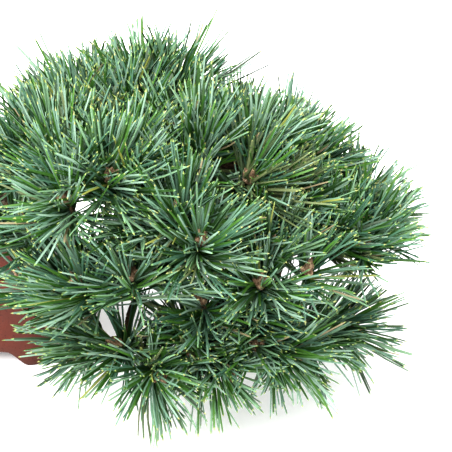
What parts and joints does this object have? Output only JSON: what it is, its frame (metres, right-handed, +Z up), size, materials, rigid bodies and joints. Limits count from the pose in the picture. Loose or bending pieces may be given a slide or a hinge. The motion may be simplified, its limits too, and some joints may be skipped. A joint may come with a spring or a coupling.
{
  "type": "potted Japanese white pine",
  "caption": "Bonsai Japanese white pine in a footed red-brown clay pot: a slanting trunk, boughs and a low dome of needle tufts that leans over the rim.",
  "frame": {"origin": "middle of the underside of the whole plant's bounding box, on the surface the pot stands on", "axes": "+X from the pot towards the tip of the crown that leans over the rim, +Y away from the front, +Z up"},
  "size_m": [0.3202, 0.236, 0.189],
  "materials": {
    "clay": "matt unglazed",
    "soil": "grit",
    "bark": "rough bark",
    "needles": "waxy needles"
  },
  "bodies": {
    "root": {"pot": "clay", "soil": "soil", "trunk": "bark", "bough_left_high": "bark", "bough_back_left": "bark", "bough_crest": "bark", "bough_centre_high": "bark", "bough_right_high": "bark", "bough_centre": "bark", "bough_centre_right": "bark", "bough_inner": "bark", "bough_right": "bark", "bough_left_middle": "bark", "bough_left_low": "bark", "bough_heart": "bark", "bough_low_left": "bark", "bough_low_right": "bark", "bough_low_far_right": "bark", "bough_back_right": "bark", "bough_back": "bark", "bough_back_low": "bark", "bough_back_high": "bark", "bough_left": "bark", "needles_left_high": "needles", "needles_back_left": "needles", "needles_crest": "needles", "needles_centre_high": "needles", "needles_right_high": "needles", "needles_centre": "needles", "needles_centre_right": "needles", "needles_inner": "needles", "needles_right": "needles", "needles_far_right": "needles", "needles_left_middle": "needles", "needles_left_low": "needles", "needles_heart": "needles", "needles_low_left": "needles", "needles_low_right": "needles", "needles_low_far_right": "needles", "needles_back_right": "needles", "needles_back": "needles", "needles_back_low": "needles", "needles_back_high": "needles", "needles_left": "needles"}
  },
  "joints": []
}
